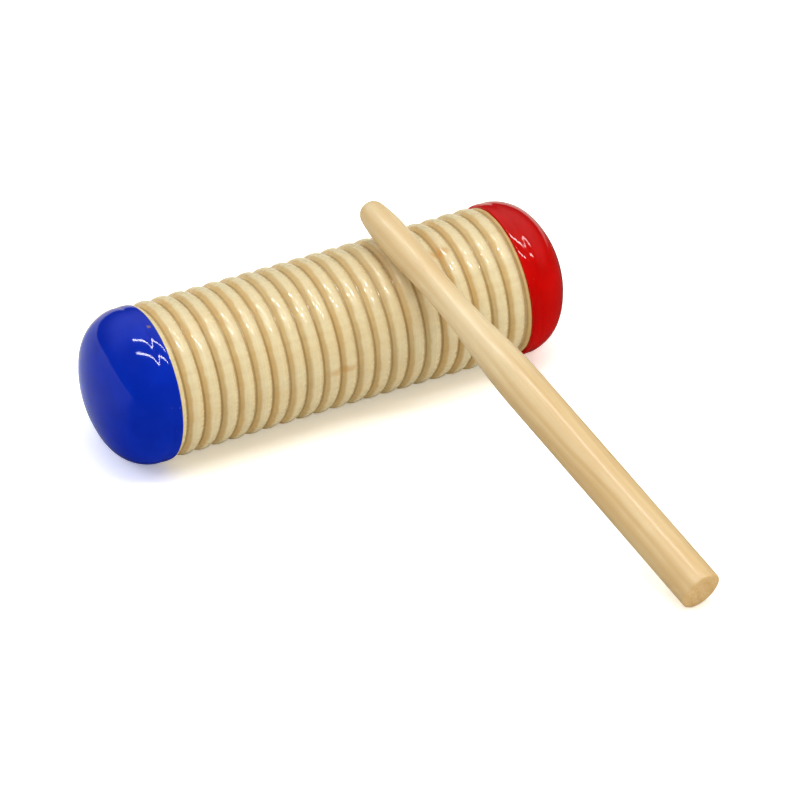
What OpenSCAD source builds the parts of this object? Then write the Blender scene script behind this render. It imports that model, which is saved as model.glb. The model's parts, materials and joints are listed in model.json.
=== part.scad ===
// Wooden guiro shaker: a hollow tube turned with ribs, two painted domes plugged
// into its ends, loose beads inside, and a turned stick that leans on the ribs.
// Sizes are in millimetres. X runs along the tube, Z is up, and the table is z = 0.

/* [Tube] */
// Diameter over the rib crests at the two ends of the tube
crest_d = 50; // [44:0.5:60]
// How far the crests sink in toward the middle of the tube
tube_waist = 0.45; // [0:0.05:0.8]
// Diameter of the hollow
bore_d = 36; // [26:0.5:42]
// Number of whole ribs
rib_count = 20; // [14:1:26]
// Distance from one rib to the next
rib_pitch = 5.96; // [5:0.01:7]
// Depth of the grooves between the ribs
groove_depth = 1.6; // [0.8:0.1:2.4]
// Width of the flat floor of a groove
groove_floor = 0.5; // [0.2:0.1:1]
// Wood from the blue end to the middle of the first groove
first_land = 2.15; // [0.8:0.05:3]
// Wood from the middle of the last groove to the red end
last_land = 1.05; // [0.8:0.05:3]
// Rounding of the tube's outer end edges
tube_edge_r = 0.3; // [0.1:0.1:0.6]

/* [End caps] */
// How far the painted caps stand proud of the end ribs
cap_proud = 0.15; // [0:0.05:0.6]
// Width of the straight painted band beside the seam
cap_band = 3.4; // [2:0.1:8]
// Rise of the blue dome beyond its band
blue_dome_h = 16.5; // [15:0.1:22]
// Rise of the red dome beyond its band
red_dome_h = 17.4; // [15:0.1:22]
// Rounding between the band and the crown of a dome
knuckle_r = 13.8; // [8:0.1:14.4]
// Rounding of the rim where it meets the tube
rim_r = 0.8; // [0.3:0.1:2]
// Length of the plug that is glued into the tube
spigot_len = 11.5; // [6:0.5:20]
// Room for glue around the plug
glue_gap = 0.1; // [0.05:0.01:0.2]
// Bevel on the plug's leading edge
spigot_bevel = 0.8; // [0.3:0.1:2]

/* [Rattle beads] */
// Diameter of a bead
bead_d = 6; // [3:0.5:8]
// Beads in one row along the tube
row_beads = 4; // [2:1:8]
// Rows that lie side by side on the floor of the hollow
bead_rows = 3; // [1:1:5]
// Room around each bead
bead_gap = 0.3; // [0.2:0.05:0.6]

/* [Scraper stick] */
// Length of the stick
stick_len = 175; // [140:1:220]
// Diameter of the handle
handle_d = 13.8; // [11:0.1:18]
// Where the handle reaches its full diameter, from the tip
handle_at = 87; // [70:1:110]
// Diameter of the waist
waist_d = 9.3; // [7:0.1:10.4]
// Where the waist is, from the tip
waist_at = 41.5; // [32:0.5:55]
// Diameter of the rounded head
head_d = 10.7; // [9.7:0.1:13]
// Where the head is widest, from the tip
head_at = 15.3; // [12:0.1:20]
// Width of the straight ring where the head is widest
head_ring = 1; // [0.4:0.1:4]
// Radius of the curve from the widest ring of the head to its nose
head_side_r = 60; // [40:1:90]
// Rounding of the edge of the flat butt
butt_edge_r = 0.8; // [0.2:0.1:2]

/* [Leaning stick] */
// Place along the tube where the stick leans
stick_x = 23.8; // [-50:0.1:50]
// Length of stick from its tip to where it leans
overhang = 20.6; // [14:0.1:40]
// Turn of the stick away from square to the tube
stick_turn = 9.6; // [-25:0.1:25]
// Room between the stick and the highest rib crests
stick_gap = 0.1; // [0.05:0.05:1]

/* [Hidden] */
$fn = 96;

crest_r = crest_d / 2;
bore_r = bore_d / 2;
cap_r = crest_r + cap_proud;
axis_z = cap_r;
tube_len = first_land + rib_count * rib_pitch + last_land;

// A rib is a bead: an arc over its chord, as high as the groove is deep
rib_half = (rib_pitch - groove_floor) / 2;
rib_arc_r = (rib_half^2 + groove_depth^2) / (2 * groove_depth);
first_crest = first_land - rib_pitch / 2;
grooves = [for (i = [-1 : rib_count + 1]) first_land + i * rib_pitch];
function crest_line(y) = crest_r - tube_waist * (1 - (2 * y / tube_len - 1)^2);
function rib_drop(off) = rib_arc_r - sqrt(rib_arc_r^2 - off^2);
function end_r(land) = crest_line(land - rib_pitch / 2) - rib_drop(rib_pitch / 2 - land);

// The crown of a dome is the arc that runs on smoothly from the knuckle
knuckle_at = cap_r - knuckle_r;
function crown_r(rise) = (rise^2 + knuckle_at^2 - knuckle_r^2) / (2 * (rise - knuckle_r));
function crown_edge(rise) = crown_r(rise) * knuckle_at / (crown_r(rise) - knuckle_r);
spigot_r = bore_r - glue_gap;

// Beads lie in rows on the curved floor of the hollow
bead_step = bead_d + bead_gap;
lane_r = bore_r - bead_gap - bead_d / 2;
lane_angle = 2 * asin(bead_step / (2 * lane_r));
row_shift = bead_step / bead_rows;
first_bead = -((row_beads - 1) * bead_step + (bead_rows - 1) * row_shift) / 2;

// Turned curves of the stick: arcs that meet smoothly halfway
handle_r = handle_d / 2;
waist_r = waist_d / 2;
head_r = head_d / 2;
function sweep_r(run, rise) = (run^2 + rise^2) / (4 * rise);
head_start = head_at - head_ring / 2;
head_stop = head_at + head_ring / 2;
neck_sweep = sweep_r(waist_at - head_stop, head_r - waist_r);
flare_sweep = sweep_r(handle_at - waist_at, handle_r - waist_r);
neck_mid = (head_stop + waist_at) / 2;
flare_mid = (waist_at + handle_at) / 2;
nose_r = (head_side_r^2 - head_start^2 - (head_side_r - head_r)^2)
    / (2 * (head_side_r - head_start));
nose_end = nose_r - nose_r * (head_start - nose_r) / (head_side_r - nose_r);

// The stick leans so that its head rests on the ribs and its butt on the table
lean_reach = crest_r + head_r + stick_gap;
foot_len = stick_len - overhang - butt_edge_r;
function side_tilt(lean) = atan(tan(lean) / cos(stick_turn));
function drop(lean) = axis_z + lean_reach * cos(side_tilt(lean))
    - (handle_r - butt_edge_r) * cos(lean) - butt_edge_r;
function settled(lean, steps) = steps == 0 ? lean : settled(asin(drop(lean) / foot_len), steps - 1);
stick_lean = settled(18, 12);
stick_tilt = side_tilt(stick_lean);
lean_point = [stick_x, -lean_reach * sin(stick_tilt), axis_z + lean_reach * cos(stick_tilt)];

// Cuts one rounded outer corner off a turned outline, with the end face at y = 0
module round_corner(r_out, edge_r) {
    difference() {
        translate([r_out - edge_r, -edge_r]) square([2 * edge_r, 2 * edge_r]);
        translate([r_out - edge_r, edge_r]) circle(edge_r);
    }
}

// Turned outline of the tube's wall, from the blue end at y = 0
module tube_outline() {
    difference() {
        intersection() {
            union() {
                polygon([
                    [0, grooves[0]],
                    for (y = grooves) [crest_line(y) - groove_depth, y],
                    [0, grooves[rib_count + 2]]
                ]);
                for (i = [0 : rib_count + 1]) let (y = first_crest + i * rib_pitch)
                    translate([crest_line(y) - rib_arc_r, y]) circle(rib_arc_r);
            }
            translate([bore_r, 0]) square([crest_r, tube_len]);
        }
        round_corner(end_r(first_land), tube_edge_r);
        translate([0, tube_len]) mirror([0, 1]) round_corner(end_r(last_land), tube_edge_r);
    }
}

module ribbed_tube() {
    color([0.89, 0.78, 0.58])
        translate([-tube_len / 2, 0, axis_z]) rotate([0, 90, 0])
            rotate_extrude() tube_outline();
}

// Turned outline of an end cap, with the seam at y = 0 and the dome above it
module cap_outline(rise) {
    difference() {
        square([cap_r, cap_band]);
        round_corner(cap_r, rim_r);
    }
    intersection() {
        translate([knuckle_at, cap_band]) circle(knuckle_r);
        translate([crown_edge(rise), cap_band]) square([cap_r, rise]);
    }
    intersection() {
        translate([0, cap_band + rise - crown_r(rise)]) circle(crown_r(rise));
        translate([0, cap_band]) square([crown_edge(rise), 2 * rise]);
    }
    translate([0, -spigot_len + spigot_bevel]) square([spigot_r, spigot_len - spigot_bevel]);
    translate([0, -spigot_len]) polygon([
        [0, 0], [spigot_r - spigot_bevel, 0], [spigot_r, spigot_bevel], [0, spigot_bevel]
    ]);
}

module end_cap(rise) {
    rotate_extrude() cap_outline(rise);
}

module blue_end_cap() {
    color([0.07, 0.13, 0.62])
        translate([-tube_len / 2, 0, axis_z]) rotate([0, -90, 0]) end_cap(blue_dome_h);
}

module red_end_cap() {
    color([0.78, 0.05, 0.09])
        translate([tube_len / 2, 0, axis_z]) rotate([0, 90, 0]) end_cap(red_dome_h);
}

module rattle_beads() {
    color([0.72, 0.55, 0.36])
        for (row = [0 : bead_rows - 1], i = [0 : row_beads - 1]) {
            around = (row - (bead_rows - 1) / 2) * lane_angle;
            translate([first_bead + i * bead_step + row * row_shift,
                       -lane_r * sin(around), axis_z - lane_r * cos(around)])
                sphere(d = bead_d);
        }
}

// Straight stretch of the stick's outline, between two places along it
module stretch(from, to, r) {
    polygon([[0, from], [r, from], [r, to], [0, to]]);
}

// Stretch of the stick's outline that swells to radius r at the place called at
module swelling(from, to, at, r, arc_r) {
    intersection() {
        translate([r - arc_r, at]) circle(arc_r);
        stretch(from, to, 2 * r);
    }
}

// Stretch of the stick's outline that narrows to radius r at the place called at
module hollowing(from, to, at, r, arc_r, widest) {
    difference() {
        stretch(from, to, widest);
        translate([r + arc_r, at]) circle(arc_r);
    }
}

// Turned outline of the stick, with its tip at y = 0
module stick_outline() {
    intersection() {
        translate([0, nose_r]) circle(nose_r);
        stretch(0, nose_end, 2 * nose_r);
    }
    swelling(nose_end, head_start, head_start, head_r, head_side_r);
    stretch(head_start, head_stop, head_r);
    swelling(head_stop, neck_mid, head_stop, head_r, neck_sweep);
    hollowing(neck_mid, waist_at, waist_at, waist_r, neck_sweep, (head_r + waist_r) / 2);
    hollowing(waist_at, flare_mid, waist_at, waist_r, flare_sweep, (handle_r + waist_r) / 2);
    swelling(flare_mid, handle_at, handle_at, handle_r, flare_sweep);
    difference() {
        stretch(handle_at, stick_len, handle_r);
        translate([0, stick_len]) mirror([0, 1]) round_corner(handle_r, butt_edge_r);
    }
}

module scraper_stick() {
    color([0.86, 0.70, 0.48])
        translate(lean_point) rotate([0, 90 + stick_lean, stick_turn - 90])
            translate([0, 0, -overhang]) rotate_extrude() stick_outline();
}

ribbed_tube();
blue_end_cap();
red_end_cap();
rattle_beads();
scraper_stick();
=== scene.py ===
import json
import math

import bmesh
import bpy
from mathutils import Matrix, Vector


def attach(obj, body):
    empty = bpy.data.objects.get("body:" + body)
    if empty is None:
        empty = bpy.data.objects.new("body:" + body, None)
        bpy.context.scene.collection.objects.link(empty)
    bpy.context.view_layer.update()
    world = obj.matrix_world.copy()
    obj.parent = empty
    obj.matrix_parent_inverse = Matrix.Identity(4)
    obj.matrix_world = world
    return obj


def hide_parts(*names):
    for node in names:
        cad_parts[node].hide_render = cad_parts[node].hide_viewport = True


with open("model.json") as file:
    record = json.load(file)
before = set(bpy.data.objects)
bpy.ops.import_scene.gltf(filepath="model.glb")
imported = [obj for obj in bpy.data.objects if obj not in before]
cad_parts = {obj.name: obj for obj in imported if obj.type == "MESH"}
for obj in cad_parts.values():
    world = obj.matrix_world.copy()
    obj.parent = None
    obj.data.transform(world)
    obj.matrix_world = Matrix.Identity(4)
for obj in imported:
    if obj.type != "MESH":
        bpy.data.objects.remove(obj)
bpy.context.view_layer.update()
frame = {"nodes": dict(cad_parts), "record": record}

# Ribbed tube: the body of the guiro, one length of pale hardwood, bored through
# and turned with a row of rounded ribs, then sanded and dipped in clear lacquer.
# It lies on its side on the table.
MM = 0.001
CREST_R = 25 * MM
TUBE_WAIST = 0.45 * MM
BORE_R = 18 * MM
TUBE_LEN = 122.4 * MM
AXIS_Z = 25.15 * MM
RIB_PITCH = 5.96 * MM
GROOVE_DEPTH = 1.6 * MM
GROOVE_FLOOR = 0.5 * MM
FIRST_CREST = 5.13 * MM
TUBE_EDGE_R = 0.3 * MM
RED_END_SKEW = 0.85 * MM
LATHE_PLAY = 0.06 * MM


def wire(tree, value, socket):
    """Fills a socket with a link, where the value comes from a node, or with the value itself."""
    value = getattr(value, "socket", value)
    if isinstance(value, bpy.types.NodeSocket):
        tree.links.new(value, socket)
    elif socket.type == "RGBA":
        socket.default_value = (*value, 1.0)
    else:
        socket.default_value = value


def add_node(tree, kind, inputs=None, **settings):
    """Adds a node with its options set and its inputs filled."""
    made = tree.nodes.new(kind)
    for name, value in settings.items():
        setattr(made, name, value)
    for name, value in (inputs or {}).items():
        wire(tree, value, made.inputs[name])
    return made


class Gauge:
    """A number that varies over a piece. Arithmetic on it adds Math nodes to its tree."""

    def __init__(self, tree, socket):
        self.tree, self.socket = tree, socket

    def apply(self, operation, *others):
        made = add_node(self.tree, "ShaderNodeMath", operation=operation)
        for spot, value in enumerate((self, *others)):
            wire(self.tree, value, made.inputs[spot])
        return Gauge(self.tree, made.outputs[0])

    def __add__(self, other):
        return self.apply("ADD", other)

    def __sub__(self, other):
        return self.apply("SUBTRACT", other)

    def __mul__(self, other):
        return self.apply("MULTIPLY", other)

    def __truediv__(self, other):
        return self.apply("DIVIDE", other)

    def __pow__(self, other):
        return self.apply("POWER", other)

    def __neg__(self):
        return self.apply("MULTIPLY", -1.0)

    def floor(self):
        return self.apply("FLOOR")

    def round(self):
        return self.apply("ROUND")

    def root(self):
        return self.apply("SQRT")

    def magnitude(self):
        return self.apply("ABSOLUTE")

    def least(self, other):
        return self.apply("MINIMUM", other)

    def most(self, other):
        return self.apply("MAXIMUM", other)

    def fade(self, low, high, start=0.0, stop=1.0):
        """Goes smoothly from start to stop as the number goes from low to high."""
        made = add_node(
            self.tree, "ShaderNodeMapRange",
            {"Value": self, "From Min": low, "From Max": high, "To Min": start, "To Max": stop},
            interpolation_type="SMOOTHSTEP",
        )
        return Gauge(self.tree, made.outputs["Result"])


def coordinate(tree, vector, axis):
    """One coordinate of a vector."""
    split = add_node(tree, "ShaderNodeSeparateXYZ", {"Vector": vector})
    return Gauge(tree, split.outputs[axis])


def measure(tree, operation, *vectors):
    """A number taken from one or two vectors, such as a length or a distance."""
    made = add_node(tree, "ShaderNodeVectorMath", dict(enumerate(vectors)), operation=operation)
    return Gauge(tree, made.outputs["Value"])


def noise(tree, scale, detail, roughness=0.5, **place):
    """Noise about 0.5, through space by a Vector or along one number by W."""
    made = add_node(tree, "ShaderNodeTexNoise", {
        "Scale": scale, "Detail": detail, "Roughness": roughness, **place,
    }, noise_dimensions="1D" if "W" in place else "3D")
    return Gauge(tree, made.outputs[0])


def give_inputs(tree, **kinds):
    """Names a group's inputs, kind by kind, and returns what its Group Input gives for each."""
    for kind, names in kinds.items():
        for name in names:
            tree.interface.new_socket(name, in_out="INPUT", socket_type="NodeSocket" + kind)
    source = tree.nodes.new("NodeGroupInput")
    return [Gauge(tree, source.outputs[name]) for names in kinds.values() for name in names]


def make_rib_lathe():
    """A tree that turns a bored tube with ribs at one pitch, each a little unlike the next."""
    face_rows = 4
    crisp_angle = 0.75
    weld_distance = 0.001 * MM
    height_draw, tone_draw, depth_draw = 0, 3, 7
    shallowest, depth_spread = 0.94, 0.08
    rib_part, wobble_part = 0.7, 0.3
    tree = bpy.data.node_groups.new("rib_lathe", "GeometryNodeTree")
    tree.interface.new_socket("Mesh", in_out="OUTPUT", socket_type="NodeSocketGeometry")
    (length, crest, waist, bore, pitch, depth, floor, first, edge, skew, axis_z, play,
     rows, columns, seed, wood) = give_inputs(
        tree,
        Float=(
            "Tube length", "Crest radius", "Waist", "Bore radius", "Rib pitch", "Groove depth",
            "Groove floor", "First crest", "Edge rounding", "End skew", "Axis height",
            "Play of the lathe",
        ),
        Int=("Rows in a rib", "Columns around", "Seed"),
        Material=("Wood",),
    )
    spot = tree.nodes.new("GeometryNodeInputPosition").outputs["Position"]

    def unit_grid(rows_along):
        """A grid of rows along the tube and columns around it, and the row and turn of a point."""
        grid = add_node(tree, "GeometryNodeMeshGrid", {
            "Size X": 1.0, "Size Y": 1.0, "Vertices X": rows_along + 1,
            "Vertices Y": columns + 1,
        })
        row = ((coordinate(tree, spot, "X") + 0.5) * rows_along).round()
        turn = (coordinate(tree, spot, "Y") + 0.5) * (2 * math.pi)
        return grid.outputs["Mesh"], row, turn

    def set_round(mesh, along, radius, turn):
        """Moves a grid's points to their place along the tube and around its axis."""
        height = radius * turn.apply("SINE")
        skew_reach = pitch * 0.25
        at_end = ((along - length) / skew_reach + 1.0).most(0.0)
        place = add_node(tree, "ShaderNodeCombineXYZ", {
            "X": along - length * 0.5 + skew * at_end * (height / crest * -1.0 + 1.0),
            "Y": radius * turn.apply("COSINE"),
            "Z": axis_z + height,
        })
        moved = add_node(tree, "GeometryNodeSetPosition", {
            "Geometry": mesh, "Position": place.outputs["Vector"],
        })
        return moved.outputs["Geometry"]

    def rib_chance(rib, draw):
        """A number from 0 to 1 for each rib."""
        drawn = add_node(tree, "FunctionNodeRandomValue", {
            "ID": rib, "Seed": seed + float(draw),
        }, data_type="FLOAT")
        return Gauge(tree, drawn.outputs["Value"])

    step = pitch / rows
    rows_before = (first / step).floor() + float(1 + face_rows)
    rows_after = ((length - first) / step).floor() + float(1 + face_rows)
    outer, row, turn = unit_grid(rows_before + rows_after)
    reach = first + (row - rows_before) * step
    along = reach.most(0.0).least(length)
    past_end = (-reach).most(reach - length).most(0.0)
    face = ((past_end / step - 1.0) / float(face_rows - 1)).most(0.0).least(1.0)

    rib = ((along - first) / pitch).round()
    past_crest = along - first - rib * pitch
    off_middle = (first + rib * pitch) * 2.0 / length - 1.0
    crest_here = crest - waist * (off_middle * off_middle * -1.0 + 1.0)
    rib_half = (pitch - floor) * 0.5
    arc_r = (rib_half ** 2.0 + depth ** 2.0) / (depth * 2.0)
    sunk = (arc_r - (arc_r ** 2.0 - past_crest.magnitude() ** 2.0).most(0.0).root()).least(depth)
    wobble = noise(tree, 9.0, 1.0, Vector=spot)
    slack = play * (rib_chance(rib, height_draw) * rib_part + wobble * wobble_part)
    off_edge = (edge - along.least(length - along)).most(0.0)
    eased = edge - (edge ** 2.0 - off_edge ** 2.0).root()
    depth_share = rib_chance(rib, depth_draw) * depth_spread + shallowest
    turned = crest_here - sunk * depth_share - slack - eased
    radius = turned + (bore - turned) * face
    for name, value in (
        ("groove", sunk / depth),
        ("flank", past_crest / pitch * 2.0),
        ("tone", rib_chance(rib, tone_draw)),
    ):
        outer = add_node(tree, "GeometryNodeStoreNamedAttribute", {
            "Geometry": outer, "Name": name, "Value": value,
        }, data_type="FLOAT", domain="POINT").outputs["Geometry"]
    outside = set_round(outer, along, radius, -turn)

    lining, lining_row, lining_turn = unit_grid(1)
    inside = set_round(lining, lining_row * length, bore, lining_turn)
    joined = add_node(tree, "GeometryNodeJoinGeometry")
    for shell in (inside, outside):
        tree.links.new(shell, joined.inputs["Geometry"])
    closed = add_node(tree, "GeometryNodeMergeByDistance", {
        "Geometry": joined.outputs["Geometry"], "Distance": weld_distance,
    })
    smooth = add_node(tree, "GeometryNodeSetShadeSmooth", {
        "Geometry": closed.outputs["Geometry"], "Shade Smooth": True,
    }, domain="FACE")
    bend = add_node(tree, "GeometryNodeInputMeshEdgeAngle").outputs["Unsigned Angle"]
    crisp = add_node(tree, "GeometryNodeSetShadeSmooth", {
        "Geometry": smooth.outputs["Geometry"],
        "Selection": Gauge(tree, bend).apply("GREATER_THAN", crisp_angle),
        "Shade Smooth": False,
    }, domain="EDGE")
    real = add_node(tree, "GeometryNodeRealizeInstances", {"Geometry": crisp.outputs["Geometry"]})
    dressed = add_node(tree, "GeometryNodeSetMaterial", {
        "Geometry": real.outputs["Geometry"], "Material": wood,
    })
    out = tree.nodes.new("NodeGroupOutput")
    tree.links.new(dressed.outputs["Geometry"], out.inputs["Mesh"])
    return tree


def mix(tree, share, base, added, blend="MIX"):
    """Lays one colour over another by a share that varies over the piece."""
    base_socket, added_socket, colour_out = 6, 7, 2
    made = add_node(tree, "ShaderNodeMix", {
        "Factor": share, base_socket: base, added_socket: added,
    }, data_type="RGBA", blend_type=blend)
    return made.outputs[colour_out]


def put_out(tree, colour, roughness, height):
    """Ends a finish's group with its colour, its roughness and the height for a bump."""
    finish = (
        ("Color", "NodeSocketColor", colour), ("Roughness", "NodeSocketFloat", roughness),
        ("Height", "NodeSocketFloat", height),
    )
    for name, kind, _ in finish:
        tree.interface.new_socket(name, in_out="OUTPUT", socket_type=kind)
    out = tree.nodes.new("NodeGroupOutput")
    for name, _, value in finish:
        wire(tree, value, out.inputs[name])


def make_turned_wood():
    """Grain of pale hardwood whose fibres run along X: growth rings, fibres, pores and blotches."""
    pith_off = (0, 0.058, 0.031)
    mark_gap = 0.55 * MM
    tree = bpy.data.node_groups.new("turned_wood", "ShaderNodeTree")
    vector, pale, deep, flush, grain, ring_gap, tool_marks = give_inputs(
        tree,
        Vector=("Vector",),
        Color=("Pale wood", "Deep wood", "Flushed wood"),
        Float=("Grain", "Ring spacing", "Tool marks"),
    )

    def streaks(size, stretch, detail):
        """Noise of one size across the grain and stretched along it."""
        drawn_out = add_node(tree, "ShaderNodeMapping", {
            "Vector": vector, "Scale": (1 / (size * stretch), 1 / size, 1 / size),
        })
        return noise(tree, 1.0, detail, roughness=0.55, Vector=drawn_out.outputs["Vector"])

    warp = streaks(14 * MM, 5, 2.0)
    from_pith = add_node(tree, "ShaderNodeMapping", {
        "Vector": vector, "Location": pith_off, "Scale": (0, 1, 1),
    })
    ring_count = measure(tree, "LENGTH", from_pith.outputs["Vector"]) / ring_gap + warp * 2.2
    ring = noise(tree, 1.0, 1.5, W=ring_count).fade(0.32, 0.7)
    fibre = streaks(0.7 * MM, 70, 2.0).fade(0.3, 0.72)
    blotch = streaks(9 * MM, 2.2, 2.0).fade(0.38, 0.68)
    pore = streaks(0.26 * MM, 50, 1.0).fade(0.6, 0.74)
    mark_count = coordinate(tree, vector, "X") / mark_gap + warp * 3.0
    marks = noise(tree, 1.0, 2.0, W=mark_count).fade(0.3, 0.7)

    tone = (ring * 0.5 + fibre * 0.34 + blotch * 0.16) * grain + marks * tool_marks
    wood = mix(tree, tone, pale, deep)
    warm = mix(tree, blotch * 0.4, wood, flush)
    pored = mix(tree, pore * grain * 0.1, warm, deep, "MULTIPLY")
    put_out(
        tree, pored,
        roughness=fibre * 0.12 + pore * 0.08 + 0.26,
        height=fibre * 0.55 - pore * 0.25,
    )
    return tree


TURNED_WOOD = make_turned_wood()


def start_material(name, **shader_values):
    """A material with its Principled shader set to values that are the same all over."""
    made = bpy.data.materials.new(name)
    made.use_nodes = True
    shader = made.node_tree.nodes["Principled BSDF"]
    for socket, value in shader_values.items():
        shader.inputs[socket.replace("_", " ")].default_value = value
    return made, made.node_tree, shader


def object_place(tree):
    """The place of a point in the frame that all pieces share."""
    return add_node(tree, "ShaderNodeTexCoord").outputs["Object"]


def lay_finish(tree, shader, colour, roughness, height, strength, depth):
    """Gives a shader its colour, its roughness, and its height as a bump."""
    bump = add_node(tree, "ShaderNodeBump", {
        "Strength": strength, "Distance": depth, "Height": height,
    })
    wire(tree, colour, shader.inputs["Base Color"])
    wire(tree, roughness, shader.inputs["Roughness"])
    wire(tree, bump.outputs["Normal"], shader.inputs["Normal"])


def make_lacquered_tube_wood():
    """Pale wood under lacquer; rib flanks are darker by end grain and by painted shade, grooves by
    painted shade.

    The lacquer glints in patches, and two short brown streaks cross the ribs.
    """
    # Colours that darken the rib flanks: partly the end grain, partly painted shade
    dull_grain_and_shade, amber_grain_and_shade = (0.82, 0.74, 0.60), (0.87, 0.73, 0.53)
    # Painted shade for the grooves, and the brown of two real streaks
    painted_groove_shade, streak_brown = (0.33, 0.19, 0.065), (0.60, 0.29, 0.07)
    coarse, fine = 230.0, 900.0
    made, tree, shader = start_material(
        "lacquered_tube_wood", IOR=1.5, Specular_IOR_Level=0.14, Coat_Roughness=0.06, Coat_IOR=1.5,
    )
    spot = object_place(tree)
    wood = add_node(tree, "ShaderNodeGroup", {
        "Vector": spot, "Pale wood": (0.83, 0.725, 0.455), "Deep wood": (0.68, 0.50, 0.25),
        "Flushed wood": (0.81, 0.645, 0.36), "Grain": 0.34, "Ring spacing": 3.2 * MM,
        "Tool marks": 0.22,
    }, node_tree=TURNED_WOOD)
    sunk, past_crest, tone = (
        Gauge(tree, add_node(tree, "ShaderNodeAttribute", attribute_name=name).outputs["Fac"])
        for name in ("groove", "flank", "tone")
    )

    def patches(scale):
        """Uneven places in the lacquer, as a number about 0.5."""
        return noise(tree, scale, 2.0, Vector=spot)

    # Both flanks darken a little as end grain; the flank towards the blue end darkens much more as
    # painted shade, for light that falls from the red end
    painted_shade_side = past_crest.fade(-0.25, 0.25, 1.0, 0.2)
    uneven = (patches(coarse) - 0.5) * 0.3
    lacquer = mix(tree, (tone + uneven * 2.0).fade(0.0, 1.0), dull_grain_and_shade, amber_grain_and_shade)
    flank = mix(
        tree, (sunk + uneven).fade(0.09, 0.34) * painted_shade_side, wood.outputs["Color"], lacquer,
        "MULTIPLY",
    )
    # Painted shade, deepest at the bottom of each groove
    colour = mix(tree, sunk.fade(0.72, 1.0) * 0.62, flank, painted_groove_shade)
    for streak_x, degrees_from_top, spread, strength in (
        (36.9, 20.0, (4.8, 2.4, 3.0), 0.66),
        (-5.4, 87.3, (7.5, 4.0, 1.8), 0.5),
    ):
        turn = math.radians(degrees_from_top)
        middle = (streak_x * MM, -CREST_R * math.sin(turn), AXIS_Z + CREST_R * math.cos(turn))
        near = add_node(tree, "ShaderNodeMapping", {
            "Vector": spot, "Location": middle, "Scale": Vector(spread) * MM,
        }, vector_type="TEXTURE")
        gone = measure(tree, "LENGTH", near.outputs["Vector"]) + patches(fine) * 0.9
        colour = mix(tree, gone.fade(0.6, 1.6, strength, 0.0), colour, streak_brown)
    wire(tree, patches(fine).fade(0.46, 0.62) * 0.75, shader.inputs["Coat Weight"])
    lay_finish(
        tree, shader, colour, Gauge(tree, wood.outputs["Roughness"]) - 0.08,
        wood.outputs["Height"], strength=0.25, depth=0.1 * MM,
    )
    return made


rib_lathe = make_rib_lathe()
ribbed_tube = bpy.data.objects.new("turned_ribbed_tube", bpy.data.meshes.new("turned_ribbed_tube"))
bpy.context.scene.collection.objects.link(ribbed_tube)
lathe_run = ribbed_tube.modifiers.new("Rib lathe", "NODES")
lathe_run.node_group = rib_lathe
lathe_settings = {
    "Tube length": TUBE_LEN, "Crest radius": CREST_R, "Waist": TUBE_WAIST,
    "Bore radius": BORE_R, "Rib pitch": RIB_PITCH, "Groove depth": GROOVE_DEPTH,
    "Groove floor": GROOVE_FLOOR, "First crest": FIRST_CREST, "Edge rounding": TUBE_EDGE_R,
    "End skew": RED_END_SKEW, "Axis height": AXIS_Z, "Play of the lathe": LATHE_PLAY,
    "Rows in a rib": 20, "Columns around": 176, "Seed": 11, "Wood": make_lacquered_tube_wood(),
}
for socket in rib_lathe.interface.items_tree:
    if socket.in_out == "INPUT":
        lathe_run[socket.identifier] = lathe_settings[socket.name]
bpy.context.view_layer.update()
turned = ribbed_tube.evaluated_get(bpy.context.evaluated_depsgraph_get())
turned_mesh = bpy.data.meshes.new_from_object(turned)
ribbed_tube.modifiers.clear()
ribbed_tube.data = turned_mesh
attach(ribbed_tube, "guiro_body")
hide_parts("ribbed_tube")

# Painted domes: two turned wooden caps with a plug that is glued into the bore.
# Each is dipped in gloss enamel before it goes in, so the paint is thick, a little
# lumpy, and chipped here and there near the rim.
CAP_R = AXIS_Z
CAP_BAND = 3.4 * MM
BLUE_RISE = 16.5 * MM
RED_RISE = 17.4 * MM
KNUCKLE_R = 13.8 * MM
RIM_R = 0.35 * MM
PLUG_LEN = 11.5 * MM
PLUG_BEVEL = 0.8 * MM
GLUE_GAP = 0.1 * MM
PLUG_R = BORE_R - GLUE_GAP
LIP_AT = 3.6 * MM
LIP_WIDTH = 0.85 * MM
LIP_CREASE = 0.13 * MM
LIP_EASE = 0.2 * MM
DOME_COLUMNS = 160


def turn_outline(name, outline, columns, place):
    """A closed turned piece: an outline of points along and off the axis, from pole to pole."""
    crisp_angle = math.radians(40)
    shape = bmesh.new()
    rings = []
    for along, off in outline:
        if off == 0.0:
            rings.append([shape.verts.new(place @ Vector((along, 0, 0)))] * columns)
            continue
        rings.append([
            shape.verts.new(place @ Vector((along, off * math.cos(turn), off * math.sin(turn))))
            for turn in (2 * math.pi * column / columns for column in range(columns))
        ])
    for here, ahead in zip(rings, rings[1:]):
        for column in range(columns):
            after = (column + 1) % columns
            corners = [here[column], here[after], ahead[after], ahead[column]]
            shape.faces.new(list(dict.fromkeys(corners)))
    bmesh.ops.recalc_face_normals(shape, faces=shape.faces)
    for face in shape.faces:
        face.smooth = True
    mesh = bpy.data.meshes.new(name)
    shape.to_mesh(mesh)
    shape.free()
    mesh.set_sharp_from_angle(angle=crisp_angle)
    piece = bpy.data.objects.new(name, mesh)
    bpy.context.scene.collection.objects.link(piece)
    return piece


def arc_points(centre, radius, start, stop, count):
    """Points along an arc of the outline, angles in degrees from the axis's own direction."""
    for step in range(count + 1):
        angle = math.radians(start + (stop - start) * step / count)
        yield centre[0] + radius * math.cos(angle), centre[1] + radius * math.sin(angle)


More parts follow.
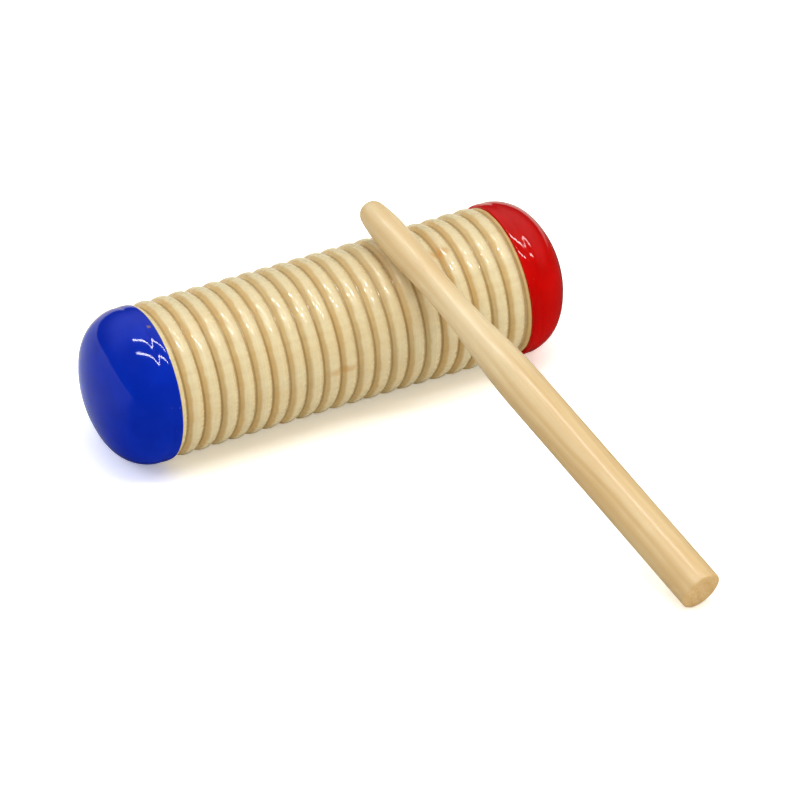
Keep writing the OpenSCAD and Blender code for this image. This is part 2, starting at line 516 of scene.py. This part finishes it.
def dome_outline(rise):
    """Plug, rim, straight band, rounded knuckle and crown, from the plug's end to the pole."""
    rim_steps, band_steps, knuckle_steps, crown_steps = 8, 12, 48, 28
    knuckle_at = CAP_R - KNUCKLE_R
    crown_r = (rise**2 + knuckle_at**2 - KNUCKLE_R**2) / (2 * (rise - KNUCKLE_R))
    crown_x = CAP_BAND + rise - crown_r
    meet = math.degrees(math.atan2(knuckle_at, crown_r - rise))
    yield -PLUG_LEN, 0.0
    yield -PLUG_LEN, PLUG_R - PLUG_BEVEL
    yield -PLUG_LEN + PLUG_BEVEL, PLUG_R
    yield 0.0, PLUG_R
    yield from arc_points((RIM_R, CAP_R - RIM_R), RIM_R, 180, 90, rim_steps)
    for step in range(1, band_steps):
        yield RIM_R + (CAP_BAND - RIM_R) * step / band_steps, CAP_R
    yield from arc_points((CAP_BAND, knuckle_at), KNUCKLE_R, 90, meet, knuckle_steps)
    crown = list(arc_points((crown_x, 0.0), crown_r, meet, 0, crown_steps))
    yield from crown[1:-1]
    yield CAP_BAND + rise, 0.0


def with_lip(outline):
    """Sinks a shallow crease into the outline beside the band, and eases the band to the rim."""
    for along, off in outline:
        if off > PLUG_R:
            off -= LIP_CREASE * math.exp(-(((along - LIP_AT) / LIP_WIDTH) ** 2))
            off -= LIP_EASE * max(0.0, 1 - along / (LIP_AT / 2)) ** 2
        yield along, off


def skew_rim(mesh):
    """Leans the red dome's rim, and less of its band, with the skewed end of the tube."""
    for vertex in mesh.vertices:
        off_seam = vertex.co.x - TUBE_LEN / 2
        at_rim = min(1.0, max(0.0, 1 - off_seam / (2 * CAP_BAND)))
        vertex.co.x += RED_END_SKEW * at_rim * (1 - (vertex.co.z - AXIS_Z) / CREST_R)


def make_dipped_paint():
    """Thick gloss enamel: lumpy, so that reflections bend, thin by the rim, specked and chipped."""
    chip_size = 1.1 * MM
    tree = bpy.data.node_groups.new("dipped_paint", "ShaderNodeTree")
    vector, chip_place, paint, thin, chip, seam_x = give_inputs(
        tree,
        Vector=("Vector", "Chip place"),
        Color=("Paint", "Thin paint", "Chip"),
        Float=("Seam distance",),
    )

    def lumps(scale, detail):
        """Lumps of one size in the paint, as a number about 0.5."""
        return noise(tree, scale, detail, Vector=vector)

    off_seam = coordinate(tree, vector, "X").magnitude() - seam_x
    specks = lumps(760.0, 2.0).fade(0.735, 0.76) * off_seam.fade(5 * MM, 0.5 * MM)
    off_chip = measure(tree, "DISTANCE", vector, chip_place) / chip_size
    chipped = specks.most((off_chip + lumps(1500.0, 2.0)).fade(0.85, 1.15, 1.0, 0.0))
    thinned = lumps(95.0, 2.0).fade(0.38, 0.68) * 0.7 + off_seam.fade(1.2 * MM, 0.2 * MM) * 0.3
    coat = mix(tree, thinned, paint, thin)
    put_out(
        tree, mix(tree, chipped * 0.85, coat, chip),
        roughness=chipped * 0.4 + lumps(30.0, 2.0) * 0.08 + 0.03,
        height=lumps(150.0, 1.0) * 0.85 + lumps(420.0, 1.0) * 0.15 - chipped * 0.3,
    )
    return tree


DIPPED_PAINT = make_dipped_paint()


def make_enamel(name, paint, thin, chip_mm):
    """Gloss enamel in one colour over wood, with one chip at a place given in millimetres."""
    made, tree, shader = start_material(name, IOR=1.5, Specular_IOR_Level=0.2)
    coat = add_node(tree, "ShaderNodeGroup", {
        "Vector": object_place(tree), "Paint": paint, "Thin paint": thin,
        "Chip": (0.20, 0.12, 0.09), "Chip place": Vector(chip_mm) * MM,
        "Seam distance": TUBE_LEN / 2,
    }, node_tree=DIPPED_PAINT)
    lay_finish(
        tree, shader, coat.outputs["Color"], coat.outputs["Roughness"], coat.outputs["Height"],
        strength=1.0, depth=0.12 * MM,
    )
    return made


blue_enamel = make_enamel(
    "blue_enamel", (0.002, 0.022, 0.41), (0.003, 0.029, 0.49), (-63.0, -5.5, 49.7),
)
red_enamel = make_enamel(
    "red_enamel", (0.50, 0.002, 0.001), (0.60, 0.003, 0.002), (63.2, 15.0, 45.3),
)
for node, tube_end, turned_about, rise, enamel in (
    ("blue_end_cap", -1, math.pi, BLUE_RISE, blue_enamel),
    ("red_end_cap", 1, 0.0, RED_RISE, red_enamel),
):
    at_seam = Matrix.Translation((tube_end * TUBE_LEN / 2, 0, AXIS_Z))
    at_seam = at_seam @ Matrix.Rotation(turned_about, 4, "Z")
    outline = list(with_lip(dome_outline(rise)))
    dome_name = "painted_" + node.replace("end_cap", "dome")
    dome = turn_outline(dome_name, outline, DOME_COLUMNS, at_seam)
    if node == "red_end_cap":
        skew_rim(dome.data)
    dome.data.materials.append(enamel)
    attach(dome, "guiro_body")
    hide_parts(node)

# Rattle beads: a dozen small balls of bare wood, put loose into the hollow before the
# second dome is glued in. They are shut away, so the solids themselves are used.


def make_bead_wood():
    """Bare wood of the beads, brown and dry."""
    made, tree, shader = start_material("bare_bead_wood", IOR=1.45)
    wood = add_node(tree, "ShaderNodeGroup", {
        "Vector": object_place(tree), "Pale wood": (0.55, 0.36, 0.19),
        "Deep wood": (0.30, 0.17, 0.08), "Flushed wood": (0.46, 0.27, 0.13), "Grain": 0.8,
        "Ring spacing": 1.4 * MM, "Tool marks": 0.1,
    }, node_tree=TURNED_WOOD)
    lay_finish(
        tree, shader, wood.outputs["Color"], Gauge(tree, wood.outputs["Roughness"]) + 0.3,
        wood.outputs["Height"], strength=0.4, depth=0.08 * MM,
    )
    return made


beads = frame["nodes"]["rattle_beads"]
beads.data.materials.clear()
beads.data.materials.append(make_bead_wood())

# Scraper stick: one dowel of a browner hardwood, turned to a rounded head and a narrow
# waist and left straight at the handle, with satin lacquer. It is loose: its head leans
# on the ribs and its butt stands on the table.
STICK_LEN = 175 * MM
HANDLE_R = 6.9 * MM
HANDLE_AT = 87 * MM
WAIST_R = 4.65 * MM
WAIST_AT = 41.5 * MM
HEAD_R = 5.35 * MM
HEAD_START = 14.8 * MM
HEAD_STOP = 15.8 * MM
HEAD_SIDE_R = 60 * MM
BUTT_EDGE_R = 0.8 * MM
STICK_COLUMNS = 96


def stick_outline():
    """Points of the stick from its tip, along arcs that run smoothly into each other."""
    nose_steps, edge_steps = 16, 8
    nose_r = (HEAD_SIDE_R**2 - HEAD_START**2 - (HEAD_SIDE_R - HEAD_R) ** 2) / (
        2 * (HEAD_SIDE_R - HEAD_START)
    )
    nose_end = nose_r - nose_r * (HEAD_START - nose_r) / (HEAD_SIDE_R - nose_r)
    nose_turn = math.degrees(math.acos((nose_r - nose_end) / nose_r))

    def sweep_r(run, rise):
        return (run**2 + rise**2) / (4 * rise)

    def swell(at, r, arc_r):
        return lambda x: r - arc_r + math.sqrt(arc_r**2 - (x - at) ** 2)

    def narrow(at, r, arc_r):
        return lambda x: r + arc_r - math.sqrt(arc_r**2 - (x - at) ** 2)

    neck_r = sweep_r(WAIST_AT - HEAD_STOP, HEAD_R - WAIST_R)
    flare_r = sweep_r(HANDLE_AT - WAIST_AT, HANDLE_R - WAIST_R)
    neck_mid = (HEAD_STOP + WAIST_AT) / 2
    flare_mid = (WAIST_AT + HANDLE_AT) / 2
    yield 0.0, 0.0
    for step in range(1, nose_steps + 1):
        angle = math.radians(nose_turn * step / nose_steps)
        yield nose_r - nose_r * math.cos(angle), nose_r * math.sin(angle)
    for start, stop, count, radius_at in (
        (nose_end, HEAD_START, 10, swell(HEAD_START, HEAD_R, HEAD_SIDE_R)),
        (HEAD_START, HEAD_STOP, 1, lambda x: HEAD_R),
        (HEAD_STOP, neck_mid, 10, swell(HEAD_STOP, HEAD_R, neck_r)),
        (neck_mid, WAIST_AT, 10, narrow(WAIST_AT, WAIST_R, neck_r)),
        (WAIST_AT, flare_mid, 16, narrow(WAIST_AT, WAIST_R, flare_r)),
        (flare_mid, HANDLE_AT, 16, swell(HANDLE_AT, HANDLE_R, flare_r)),
        (HANDLE_AT, STICK_LEN - BUTT_EDGE_R, 40, lambda x: HANDLE_R),
    ):
        for step in range(1, count + 1):
            along = start + (stop - start) * step / count
            yield along, radius_at(along)
    edge_centre = (STICK_LEN - BUTT_EDGE_R, HANDLE_R - BUTT_EDGE_R)
    edge = list(arc_points(edge_centre, BUTT_EDGE_R, 90, 0, edge_steps))
    yield from edge[1:]
    for share in (0.75, 0.5, 0.25):
        yield STICK_LEN, (HANDLE_R - BUTT_EDGE_R) * share
    yield STICK_LEN, 0.0


def make_stick_wood(lie):
    """Satin lacquered wood with its grain along the stick, palest from the waist to the handle.

    The handle is a little browner, and so is the end grain of the butt.
    """
    pale_waist_tone = (0.90, 0.76, 0.49)
    handle_brown, butt_brown = (0.96, 0.90, 0.80), (0.98, 0.93, 0.86)
    made, tree, shader = start_material("satin_stick_wood", IOR=1.5, Specular_IOR_Level=0.22)
    along = add_node(tree, "ShaderNodeMapping", {
        "Vector": object_place(tree), "Location": lie.translation,
        "Rotation": lie.to_euler("XYZ"),
    }, vector_type="TEXTURE").outputs["Vector"]
    wood = add_node(tree, "ShaderNodeGroup", {
        "Vector": along, "Pale wood": (0.84, 0.68, 0.41), "Deep wood": (0.66, 0.45, 0.20),
        "Flushed wood": (0.77, 0.56, 0.29), "Grain": 0.85, "Ring spacing": 2.6 * MM,
        "Tool marks": 0.06,
    }, node_tree=TURNED_WOOD)
    down = coordinate(tree, along, "X")
    # Paler about the waist, and browner from there towards the handle
    by_waist = down.fade(32 * MM, 56 * MM) * down.fade(60 * MM, 82 * MM, 0.42, 0.0)
    at_butt = down.fade(STICK_LEN - 0.7 * MM, STICK_LEN - 0.1 * MM)
    paled_at_waist = mix(tree, by_waist, wood.outputs["Color"], pale_waist_tone)
    browner_to_handle = mix(tree, down.fade(60 * MM, 110 * MM), paled_at_waist, handle_brown, "MULTIPLY")
    end_grain = mix(tree, at_butt, browner_to_handle, butt_brown, "MULTIPLY")
    lay_finish(
        tree, shader, end_grain, Gauge(tree, wood.outputs["Roughness"]) - 0.04,
        wood.outputs["Height"], strength=0.06, depth=0.08 * MM,
    )
    return made


butt = next(mount for mount in frame["record"]["mounts"] if mount["name"] == "butt_face")
stick_way = Vector(butt["axis"]).normalized()
side = Vector((0, 0, 1)).cross(stick_way).normalized()
lie = Matrix((stick_way, side, stick_way.cross(side))).transposed().to_4x4()
lie.translation = Vector(butt["pos_m"]) - stick_way * STICK_LEN
stick = turn_outline("turned_scraper_stick", list(stick_outline()), STICK_COLUMNS, lie)
stick.data.materials.append(make_stick_wood(lie))
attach(stick, "stick")
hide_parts("scraper_stick")

# Table and studio: a white table in a white room, two long tube lamps under the ceiling,
# each with a twin that only gloss sees, and three soft boxes that gloss doesn't see.
# Gloss sees a pale ceiling behind the object and a darker room towards the camera.
TABLE_HALF = 6.0
TABLE_DROP = 0.05 * MM
TUBE_LAMP_WAY = (0.89, -0.456)
TUBE_LAMP_ENDS = (-0.49, 0.96)
TUBE_LAMP_WIDTH = 0.065
SOFT_BOX_SIZE = (1.2, 0.9)
DARK_ROOM_WAY = (-0.453, -0.853, 0.259)
LENS = 259.707
SENSOR = 36.0
CAMERA_AT = Vector((-0.690844, -1.349383, 1.030590))
LOOK_AT = Vector((0.027574, 0.0, -0.00992))


def gloss_rays(tree, ray):
    """One for a ray that comes by way of gloss or glass."""
    return Gauge(tree, ray.outputs["Is Glossy Ray"]).most(ray.outputs["Is Transmission Ray"])


def make_table():
    """White table top that takes the shadow, and that can't be seen from below.

    To the camera it is lifted to a clean white, less near the object, and there the lift is tinted
    as painted bounce light, warm by the wood and blue by the blue dome. In gloss it is dark in
    front of the object and bright behind it.
    """
    near, far = 0.3, 1.0
    blue_until, wood_from = -74 * MM, -54 * MM
    backwards = (-0.3, 1.0, 0.0)
    # Painted bounce light: warm beside the wood, blue beside the blue dome
    white, painted_wood_bounce, painted_blue_bounce = (1.0, 1.0, 1.0), (1.0, 0.93, 0.77), (0.66, 0.72, 0.98)
    filmed_white, bounced_white, mirrored_grey = 1.37, 0.85, 0.06
    made = bpy.data.materials.new("white_table")
    made.use_nodes = True
    tree = made.node_tree
    tree.nodes.clear()
    ray = tree.nodes.new("ShaderNodeLightPath")
    mirrored = gloss_rays(tree, ray)
    filmed = Gauge(tree, ray.outputs["Is Camera Ray"])
    bounced = Gauge(tree, ray.outputs["Is Diffuse Ray"])
    paint = filmed * filmed_white + bounced * bounced_white + mirrored * mirrored_grey
    top = add_node(tree, "ShaderNodeBsdfDiffuse", {"Color": paint})
    spot = object_place(tree)
    away = measure(tree, "LENGTH", spot)
    behind = measure(tree, "DOT_PRODUCT", spot, backwards)
    across = coordinate(tree, spot, "X")
    # Painted bounce light on the table, blue by the blue dome and warm along the wood
    painted_bounce_tint = mix(tree, across.fade(blue_until, wood_from), painted_blue_bounce, painted_wood_bounce)
    to_camera = filmed * away.fade(near, far, 0.33, 1.0)
    to_gloss = mirrored * behind.fade(0.01, 0.07, 0.02, 0.85)
    lift = add_node(tree, "ShaderNodeEmission", {
        "Color": mix(tree, away.fade(near, far), painted_bounce_tint, white),
        "Strength": to_camera + to_gloss,
    })
    both = add_node(tree, "ShaderNodeAddShader", {0: top.outputs[0], 1: lift.outputs[0]})
    seen = add_node(tree, "ShaderNodeMixShader", {
        0: add_node(tree, "ShaderNodeNewGeometry").outputs["Backfacing"],
        1: both.outputs[0], 2: tree.nodes.new("ShaderNodeBsdfTransparent").outputs[0],
    })
    out = tree.nodes.new("ShaderNodeOutputMaterial")
    tree.links.new(seen.outputs[0], out.inputs["Surface"])
    return made


def hang_lamp(name, size, watts, at, turn):
    """A flat lamp of a length and a width, which shines to its own underside."""
    data = bpy.data.lights.new(name, "AREA")
    data.shape = "RECTANGLE"
    data.size, data.size_y = size
    data.energy = watts
    made = bpy.data.objects.new(name, data)
    made.location = at
    made.rotation_euler = turn
    bpy.context.scene.collection.objects.link(made)
    return made


def tube_lamp(name, off_middle, height, watts, gleam):
    """A long narrow lamp that faces straight down and is seen in gloss alone, or not in gloss."""
    way_x, way_y = TUBE_LAMP_WAY
    start, stop = TUBE_LAMP_ENDS
    middle = (start + stop) / 2
    at = (way_x * middle - way_y * off_middle, way_y * middle + way_x * off_middle, height)
    turn = (0.0, 0.0, math.atan2(way_y, way_x))
    lamp = hang_lamp(name, (stop - start, TUBE_LAMP_WIDTH), watts, at, turn)
    lamp.visible_diffuse = not gleam
    lamp.visible_glossy = gleam


def soft_box(name, at, watts, colour):
    """A wide lamp that faces the object and isn't seen in its gloss."""
    turn = (-at).to_track_quat("-Z", "Y").to_euler()
    lamp = hang_lamp(name, SOFT_BOX_SIZE, watts, at, turn)
    lamp.data.color = colour
    lamp.visible_glossy = False


table_top = bmesh.new()
bmesh.ops.create_grid(table_top, x_segments=1, y_segments=1, size=TABLE_HALF)
table_mesh = bpy.data.meshes.new("table")
table_top.to_mesh(table_mesh)
table_top.free()
table_mesh.materials.append(make_table())
table = bpy.data.objects.new("table", table_mesh)
table.location.z = -TABLE_DROP
bpy.context.scene.collection.objects.link(table)

# Each gleam hangs just below its light, so that the two don't lie in one plane
for name, off_middle in (("upper_tube", 0.108), ("lower_tube", -0.396)):
    tube_lamp(name + "_light", off_middle, height=1.22, watts=5.2, gleam=False)
    tube_lamp(name + "_gleam", off_middle, height=1.2, watts=15.0, gleam=True)
for name, at, watts, colour in (
    ("front_fill", (0.2, -1.6, 0.2), 10.5, (1.0, 0.96, 0.83)),
    ("left_fill", (-1.2, 0.1, 1.1), 9.6, (1.0, 1.0, 1.0)),
    ("right_fill", (1.4, -0.7, 0.7), 6.5, (1.0, 1.0, 1.0)),
):
    soft_box(name, Vector(at), watts, colour)

world = bpy.data.worlds.new("white_studio")
bpy.context.scene.world = world
world.use_nodes = True
air = world.node_tree
backdrop = air.nodes["Background"]
wire(air, (1.0, 1.0, 1.0), backdrop.inputs["Color"])
sky_way = air.nodes.new("ShaderNodeTexCoord").outputs["Generated"]
toward_camera = measure(air, "DOT_PRODUCT", sky_way, DARK_ROOM_WAY)
upward = coordinate(air, sky_way, "Z")
room = toward_camera.fade(-0.6, 0.6, 0.45, 0.04)
ceiling = upward.fade(0.1, 0.8, 0.06, 0.9) * toward_camera.fade(-0.2, 0.5, 1.0, 0.1)
ray = air.nodes.new("ShaderNodeLightPath")
mirrored = gloss_rays(air, ray)
lit = room * (mirrored * -1.0 + 1.0) + ceiling * mirrored
wire(air, lit.most(ray.outputs["Is Camera Ray"]), backdrop.inputs["Strength"])

camera_data = bpy.data.cameras.new("camera")
camera_data.lens, camera_data.sensor_width = LENS, SENSOR
camera = bpy.data.objects.new("camera", camera_data)
camera.location = CAMERA_AT
camera.rotation_euler = (LOOK_AT - CAMERA_AT).to_track_quat("-Z", "Y").to_euler()
bpy.context.scene.collection.objects.link(camera)
bpy.context.scene.camera = camera
bpy.context.scene.view_settings.view_transform = "Standard"
